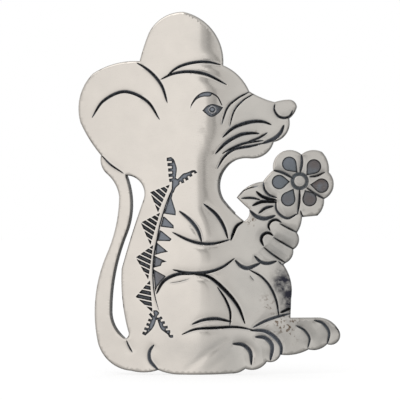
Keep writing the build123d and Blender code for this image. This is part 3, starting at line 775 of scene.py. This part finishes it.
def layFront():
    firm, runs, loose = frontPoints()
    loose = thinned(firm, loose[onSheet(loose)], surface["apart"])
    edges = [(start + i, start + (i + 1) % count) for start, count in runs for i in range(count)]
    spots, faces = triangulated(np.vstack([firm, loose]), edges, 1e-4, 1)
    pairs = dict.fromkeys((face[i], face[(i + 1) % 3]) for face in faces for i in range(3))
    border = [pair for pair in pairs if pair[::-1] not in pairs]
    print(f"front laid out: {len(spots)} points, {len(faces)} faces")
    return spots, faces, border


def layBack(rimSpots, edges):
    low = rimSpots.min(axis=0)
    high = rimSpots.max(axis=0)
    step = surface["backGrid"]
    grid = np.array([(x, z) for x in np.arange(low[0], high[0], step)
                     for z in np.arange(low[1], high[1], step)])
    grid = grid[onSheet(grid)]
    grid = grid[edgeDistance(grid) > surface["backMargin"]]
    spots, faces = triangulated(np.vstack([rimSpots, grid]), edges, 1e-6, -1)
    print(f"back laid out: {len(spots)} points, {len(faces)} faces, rim {len(rimSpots)}")
    return spots, faces


def makeSheet():
    spots, faces, border = layFront()
    found = measureMarks(spots)
    sinkEye(spots, found)
    edgeGap, facing = edgeFacing(spots)
    radius = surface["edgeRound"]
    rounding = radius - np.sqrt(radius ** 2 - (radius - np.clip(edgeGap, 0, radius)) ** 2)
    under = np.maximum(found["deep"] - found["raised"] + ripple(spots) + surface["ripple"], 0.0) + rounding
    under = np.minimum(under, surface["deepest"])
    front = bent(spots[:, 0], under, spots[:, 1])

    rim = sorted(set(i for pair in border for i in pair))
    order = {vert: place for place, vert in enumerate(rim)}
    backSpots, backFaces = layBack(spots[rim], [(order[a], order[b]) for a, b in border])
    leaning = facing[rim] * (spots[rim] < np.array(surface["leaning"]) * unit).all(axis=1)
    backSpots[:len(rim), 0] += surface["sawLean"] * leaning
    back = bent(backSpots[:, 0], np.full(len(backSpots), sheetThickness), backSpots[:, 1])

    first = len(front)
    walls = [(b, a, first + order[a], first + order[b]) for a, b in border]
    rows = [tuple(face) for face in faces] + walls + [tuple(face + first) for face in backFaces]
    mesh = bpy.data.meshes.new("mouseSheet")
    mesh.from_pydata([tuple(v) for v in np.vstack([front, back])], [], rows)
    mesh.update()
    marks = {"soot": found["soot"], "light": found["light"]}
    # oxide and painted shade beside the lines, and painted shade along the edges
    marks["smearAndShade"] = np.maximum(found["smearAndShade"], paintedEdgeShade(spots, edgeGap, facing))
    marks.update({name: clouded(spots, patches) for name, patches in clouds.items()})
    marks = {name: np.r_[values, np.zeros(len(back))] for name, values in marks.items()}
    # how far each edge faces right, for the painted shade on the sawn walls
    marks["facing"] = np.r_[facing, facing[rim], np.zeros(len(back) - len(rim))]
    for name, values in marks.items():
        attribute = mesh.attributes.new(name, "FLOAT", "POINT")
        attribute.data.foreach_set("value", values.astype(np.float32))
    slots = np.zeros(len(rows), np.int32)
    slots[:len(faces)] = measureMarks(spots[faces].mean(axis=1))["marked"]
    slots[len(faces):len(faces) + len(walls)] = 2
    mesh.polygons.foreach_set("material_index", slots)
    piece = bpy.data.objects.new("mouseSheet", mesh)
    scene.collection.objects.link(piece)
    return piece


mouseSheet = makeSheet()
bpy.context.view_layer.objects.active = mouseSheet
mouseSheet.select_set(True)
bpy.ops.object.shade_smooth_by_angle(angle=math.radians(surface["smoothTo"]))
mouseSheet.select_set(False)
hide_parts("mouse_plate")
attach(mouseSheet, "brooch")
print(f"mouse sheet made: {len(mouseSheet.data.polygons)} faces")


# Materials.
def added(tree, kind):
    return tree.nodes.new("ShaderNode" + kind)


def newMaterial(name):
    material = bpy.data.materials.new(name)
    material.use_nodes = True
    tree = material.node_tree
    tree.nodes.clear()
    output = added(tree, "OutputMaterial")
    shader = added(tree, "BsdfPrincipled")
    tree.links.new(shader.outputs[0], output.inputs[0])
    return material, tree, shader


def read(tree, name):
    attribute = added(tree, "Attribute")
    attribute.attribute_name = name
    return attribute.outputs["Fac"]


def place(tree, stretch=(1, 1, 1), turn=(0, 0, 0)):
    # object coordinates in millimetres
    coordinates = added(tree, "TexCoord")
    mapping = added(tree, "Mapping")
    mapping.inputs["Scale"].default_value = [share / mm for share in stretch]
    mapping.inputs["Rotation"].default_value = [math.radians(angle) for angle in turn]
    tree.links.new(coordinates.outputs["Object"], mapping.inputs[0])
    return mapping.outputs[0]


def noiseOf(tree, where, scale, detail=3.0, roughness=0.55):
    texture = added(tree, "TexNoise")
    texture.inputs["Scale"].default_value = scale
    texture.inputs["Detail"].default_value = detail
    texture.inputs["Roughness"].default_value = roughness
    tree.links.new(where, texture.inputs["Vector"])
    return texture.outputs["Fac"]


def calc(tree, kind, *values):
    step = added(tree, "Math")
    step.operation = kind
    for socket, value in zip(step.inputs, values):
        if isinstance(value, (int, float)):
            socket.default_value = value
        else:
            tree.links.new(value, socket)
    return step.outputs[0]


def times(tree, first, second):
    return calc(tree, "MULTIPLY", first, second)


def between(tree, value, low, high, start=0.0, end=1.0):
    step = added(tree, "MapRange")
    for socket, number in zip(step.inputs[1:5], (low, high, start, end)):
        socket.default_value = number
    tree.links.new(value, step.inputs[0])
    return step.outputs[0]


def patchy(tree, where, scale, detail, *limits):
    return between(tree, noiseOf(tree, where, scale, detail), *limits)


def mixed(tree, share, first, second):
    step = added(tree, "Mix")
    step.data_type = "RGBA"
    for socket, value in zip((step.inputs[0], step.inputs[6], step.inputs[7]), (share, first, second)):
        if isinstance(value, (int, float, tuple)):
            socket.default_value = value
        else:
            tree.links.new(value, socket)
    return step.outputs[2]


def finished(tree, shader, colour, rough, metallic=1.0):
    tree.links.new(colour, shader.inputs["Base Color"])
    tree.links.new(rough, shader.inputs["Roughness"])
    shader.inputs["Metallic"].default_value = metallic


def bumped(tree, shader, height, distance, strength=1.0):
    bump = added(tree, "Bump")
    bump.inputs["Strength"].default_value = strength
    bump.inputs["Distance"].default_value = distance * mm
    tree.links.new(height, bump.inputs["Height"])
    tree.links.new(bump.outputs[0], shader.inputs["Normal"])


silver = {
    "clean": (0.8, 0.752, 0.698, 1),
    "tarnishedAndShaded": (0.36, 0.355, 0.345, 1),
    # the black of oxide beside the lines and of painted shade on the edges and walls
    "smearedAndShaded": (0.035, 0.035, 0.037, 1),
    # the colour of the painted highlights on the burrs
    "highlighted": (0.93, 0.9, 0.86, 1),
    "violet": (0.045, 0.045, 0.062, 1),
    "brown": (0.16, 0.1, 0.06, 1),
    "gloss": 0.03,  # its roughness when clean, and where tarnish, oxide and painted shade lie
    "worn": 0.18,
    "scratches": 0.07,  # how far they darken it
    "scratchDepth": 0.0002,  # mm
}


def scratches(tree):
    # three sets of fine scratches, each its own way round
    total = None
    for turn, scale in ((12, 1.0), (74, 1.3), (-38, 0.8)):
        where = place(tree, stretch=(0.35, 1, 9), turn=(0, turn, 0))
        fine = patchy(tree, where, 2.2 * scale, 2.0, 0.62, 0.72)
        total = fine if total is None else calc(tree, "ADD", total, fine)
    return total


def polishedSilver():
    material, tree, shader = newMaterial("polishedSilver")
    where = place(tree)
    cloudy = noiseOf(tree, where, 0.22, 5.0)
    fine = noiseOf(tree, where, 3.5, 4.0)
    marks = scratches(tree)
    tarnishAndShade = times(tree, read(tree, "tarnishAndShade"), between(tree, cloudy, 0.3, 0.65, 0.45, 1.25))
    smearAndShade = times(tree, read(tree, "smearAndShade"), between(tree, fine, 0.3, 0.7, 0.75, 1.0))
    stain = times(tree, read(tree, "stain"), patchy(tree, where, 0.9, 6.0, 0.28, 0.52))
    specks = times(tree, read(tree, "rust"), patchy(tree, where, 1.5, 2.0, 0.55, 0.63))
    colour = silver["clean"]
    for share, over in (
        (between(tree, cloudy, 0.35, 0.7, 0.0, 0.12), "tarnishedAndShaded"),
        # tarnish, and the painted shade of the reflected streak
        (tarnishAndShade, "tarnishedAndShaded"),
        (between(tree, marks, 0.0, 1.0, 0.0, silver["scratches"]), "tarnishedAndShaded"),
        # painted highlights on the burrs beside the marks
        (read(tree, "light"), "highlighted"),
        # oxide and painted shade beside the lines, and painted shade along the edges
        (smearAndShade, "smearedAndShaded"),
        (stain, "violet"),
        (specks, "brown"),
    ):
        colour = mixed(tree, share, colour, silver[over])
    rough = between(tree, calc(tree, "ADD", tarnishAndShade, smearAndShade), 0.0, 1.0, silver["gloss"], silver["worn"])
    rough = calc(tree, "ADD", rough, between(tree, fine, 0.3, 0.8, 0.0, 0.02))
    finished(tree, shader, colour, rough)
    bumped(tree, shader, marks, silver["scratchDepth"], 0.5)
    return material


blackened = {
    "floor": (0.225, 0.245, 0.28, 1),
    "border": (0.01, 0.01, 0.011, 1),
    "dull": (0.14, 0.16, 0.172, 1),
    "bronze": (0.155, 0.13, 0.124, 1),
    "metallic": 0.55,
}


def blackenedSilver():
    material, tree, shader = newMaterial("blackenedSilver")
    where = place(tree)
    cloudy = noiseOf(tree, where, 0.5, 4.0)
    dull = between(tree, read(tree, "tarnishAndShade"), 0.1, 0.45)
    bronze = times(tree, read(tree, "bronze"), between(tree, cloudy, 0.25, 0.5))
    soot = calc(tree, "ADD", read(tree, "soot"), patchy(tree, where, 2.5, 3.0, 0.3, 0.7, -0.12, 0.12))
    colour = mixed(tree, dull, blackened["floor"], blackened["dull"])
    colour = mixed(tree, bronze, colour, blackened["bronze"])
    colour = mixed(tree, between(tree, soot, 0.05, 0.85), colour, blackened["border"])
    # below nought the black gives way to clean silver: the painted highlights on the eye
    colour = mixed(tree, between(tree, soot, -0.5, -0.08, 0.85, 0.0), colour, silver["clean"])
    finished(tree, shader, colour, between(tree, cloudy, 0.3, 0.7, 0.36, 0.52), blackened["metallic"])
    bumped(tree, shader, noiseOf(tree, where, 6.0), 0.004, 0.4)
    return material


def sawnSilver():
    # the marks of the saw run through the sheet
    material, tree, shader = newMaterial("sawnSilver")
    lines = noiseOf(tree, place(tree, stretch=(4, 0.3, 4)), 3.0, 2.0)
    dull = between(tree, lines, 0.3, 0.7, 0.1, 0.6)
    # walls facing right are painted black: painted shade
    paintedShade = times(tree, read(tree, "facing"), between(tree, lines, 0.25, 0.6, 0.8, 1.0))
    colour = mixed(tree, paintedShade, mixed(tree, dull, silver["clean"], silver["tarnishedAndShaded"]), silver["smearedAndShaded"])
    finished(tree, shader, colour, between(tree, lines, 0.3, 0.7, 0.25, 0.42))
    bumped(tree, shader, lines, 0.006, 0.5)
    return material


# colour, dull colour, roughness and stretch
findings = {
    "silver_fitting": ((0.76, 0.74, 0.71, 1), (0.4, 0.4, 0.39, 1), 0.24, (1, 1, 6)),
    "solder": ((0.6, 0.59, 0.57, 1), (0.32, 0.32, 0.32, 1), 0.42, (1, 1, 1)),
    "pin_wire": ((0.72, 0.69, 0.63, 1), (0.42, 0.38, 0.33, 1), 0.18, (0.3, 4, 4)),
}


def findingMetal(name, colour, dull, rough, stretch):
    material, tree, shader = newMaterial(name)
    drawn = noiseOf(tree, place(tree, stretch=stretch), 2.5, 3.0)
    cloudy = patchy(tree, place(tree), 0.8, 4.0, 0.4, 0.75, 0.0, 0.7)
    rough = between(tree, drawn, 0.3, 0.7, rough - 0.05, rough + 0.1)
    finished(tree, shader, mixed(tree, cloudy, colour, dull), rough)
    bumped(tree, shader, drawn, 0.004, 0.5)
    return material


for material in (polishedSilver(), blackenedSilver(), sawnSilver()):
    mouseSheet.data.materials.append(material)
metals = {name: findingMetal(name, *values) for name, values in findings.items()}
for part in frame["record"]["subparts"]:
    if part["material_slot"] in metals:
        node = frame["nodes"][part["node"]]
        node.data.materials.clear()
        node.data.materials.append(metals[part["material_slot"]])
print("materials assigned")


# Floor, light and camera.
view = {
    "pixel": 0.175,  # mm of the object for each pixel of the photograph
    "middle": (2.71, -3.5, -13.125),
    "distance": 460.0,
    "yaw": 2.0,
    "frame": 400,
    "sensor": 36,  # mm
    "near": 0.01,  # m
}
tent = {
    # the studio as the silver sees it: brightness by degrees to the right of the camera
    "across": [(-180, 0.85), (-125, 0.8), (-90, 0.42), (-48, 0.7), (-30, 0.91), (-12, 0.95), (18, 0.95),
               (28, 0.89), (47, 0.63), (90, 0.46), (125, 1.1), (180, 1.156)],
    # times the dark streak left of the middle, in the upper half and the lower
    "streak": [(-6, 1.0), (-3.5, 0.99), (-3.05, 0.95), (-2.8, 0.74), (-2.4, 0.6), (-1.6, 0.55),
               (-1.3, 0.42), (-0.6, 0.4), (-0.35, 0.62), (0.5, 0.66), (2, 0.69), (5, 0.726),
               (12, 0.75), (18, 0.735)],
    "faint": [(-20, 1.0), (-6, 0.98), (-3.3, 0.96), (-2.7, 0.87), (-1, 0.79), (2, 0.72), (5, 0.73),
              (12.4, 0.775), (13.0, 0.66), (18, 0.665), (60, 0.735)],
    # and by degrees above it
    "up": [(-90, 0.22), (-45, 0.3), (-22, 0.52), (-7, 0.82), (-3.4, 0.93), (-2, 0.98), (0, 1.0), (5, 1.0),
           (16, 0.95), (45, 0.85), (90, 0.6)],
    # how far the streak wanders with height, in degrees
    "wander": [(-4, 0.0), (-1.1, 0.2), (0.2, -0.6), (0.9, -0.8), (1.5, 1.5), (2.5, 1.5), (3.3, 0.0),
               (4, 0.0)],
    "most": 4,
    "halves": (-2.6, 0.2),  # degrees, from the lower half to the upper
    "warm": (1.0, 0.99, 0.975, 1),
    "cool": (0.985, 1.0, 1.0, 1),
    "tintTurn": 6,  # degrees either way, from warm to cool
}
studio = {
    "floorSize": 3.0,  # m
    "paper": (0.35, 0.35, 0.35, 1),
    "paperRough": 0.9,
    "paperGlow": 0.68,
    "around": (0.95, 0.95, 0.95, 1),
    "lampSize": (0.4, 0.3),  # m
    "lampPower": 0.22,
    "lampColour": (1.0, 0.98, 0.95),
    "lampPlace": (-0.16, -0.26, 0.26),
    "lampAim": (0, 0, -0.013),
}
white = (1, 1, 1, 1)


def makeFloor():
    bpy.ops.mesh.primitive_plane_add(size=studio["floorSize"], location=(0, 0, cadBox[0][2]))
    floor = bpy.context.object
    floor.name = "floor"
    material, _, shader = newMaterial("paper")
    shader.inputs["Base Color"].default_value = studio["paper"]
    shader.inputs["Roughness"].default_value = studio["paperRough"]
    shader.inputs["Specular IOR Level"].default_value = 0.0
    shader.inputs["Emission Color"].default_value = white
    shader.inputs["Emission Strength"].default_value = studio["paperGlow"]
    floor.data.materials.append(material)
    floor.visible_glossy = False


def rampOf(tree, value, stops):
    # brightness up to 2 by degrees, from an angle in radians
    low, high = stops[0][0], stops[-1][0]
    ramp = added(tree, "ValToRGB")
    elements = ramp.color_ramp.elements
    for place, (degrees, bright) in enumerate(stops):
        spot = (degrees - low) / (high - low)
        element = elements[place] if place < 2 else elements.new(spot)
        element.position = spot
        element.color = (bright / 2, bright / 2, bright / 2, 1)
    tree.links.new(between(tree, value, math.radians(low), math.radians(high)), ramp.inputs[0])
    return times(tree, ramp.outputs[0], 2.0)


def makeWorld():
    world = bpy.data.worlds.new("studio")
    scene.world = world
    world.use_nodes = True
    tree = world.node_tree
    tree.nodes.clear()
    output = added(tree, "OutputWorld")
    background = added(tree, "Background")
    tree.links.new(background.outputs[0], output.inputs[0])
    coordinates = added(tree, "TexCoord")
    split = added(tree, "SeparateXYZ")
    tree.links.new(coordinates.outputs["Generated"], split.inputs[0])
    toFront = times(tree, split.outputs[1], -1.0)
    height = calc(tree, "ARCSINE", split.outputs[2])
    most = tent["most"]
    wander = rampOf(tree, height, [(degrees, 1 + shift / most) for degrees, shift in tent["wander"]])
    wander = between(tree, wander, 0, 2, math.radians(-most), math.radians(most))
    azimuth = calc(tree, "SUBTRACT", calc(tree, "ARCTAN2", split.outputs[0], toFront), wander)
    across, streak, faint = (rampOf(tree, azimuth, tent[name]) for name in ("across", "streak", "faint"))
    upper = between(tree, height, *(math.radians(degrees) for degrees in tent["halves"]))
    lower = times(tree, faint, calc(tree, "SUBTRACT", 1.0, upper))
    bright = times(tree, across, calc(tree, "ADD", times(tree, streak, upper), lower))
    bright = times(tree, bright, rampOf(tree, height, tent["up"]))
    turn = math.radians(tent["tintTurn"])
    glossy = added(tree, "VectorMath")
    glossy.operation = "SCALE"
    tint = mixed(tree, between(tree, azimuth, -turn, turn), tent["warm"], tent["cool"])
    tree.links.new(tint, glossy.inputs[0])
    tree.links.new(bright, glossy.inputs["Scale"])
    path = added(tree, "LightPath")
    seen = mixed(tree, path.outputs["Is Glossy Ray"], studio["around"], glossy.outputs[0])
    tree.links.new(mixed(tree, path.outputs["Is Camera Ray"], seen, white), background.inputs[0])


def makeLamp():
    lamp = bpy.data.lights.new("softbox", "AREA")
    lamp.shape = "RECTANGLE"
    lamp.size, lamp.size_y = studio["lampSize"]
    lamp.energy = studio["lampPower"]
    lamp.color = studio["lampColour"]
    softbox = bpy.data.objects.new("softbox", lamp)
    scene.collection.objects.link(softbox)
    softbox.location = studio["lampPlace"]
    aim = Vector(studio["lampAim"]) - softbox.location
    softbox.rotation_euler = aim.to_track_quat("-Z", "Y").to_euler()


def makeCamera():
    lens = bpy.data.cameras.new("camera")
    camera = bpy.data.objects.new("camera", lens)
    scene.collection.objects.link(camera)
    turn = math.radians(view["yaw"])
    away = Vector((math.sin(turn), -math.cos(turn), 0)) * view["distance"]
    camera.location = (Vector(view["middle"]) + away) * mm
    camera.rotation_euler = (math.radians(90), 0, turn)
    lens.sensor_width = view["sensor"]
    lens.lens = lens.sensor_width * view["distance"] / (view["frame"] * view["pixel"])
    lens.clip_start = view["near"]
    scene.camera = camera


makeFloor()
makeWorld()
makeLamp()
makeCamera()
scene.view_settings.view_transform = "Standard"
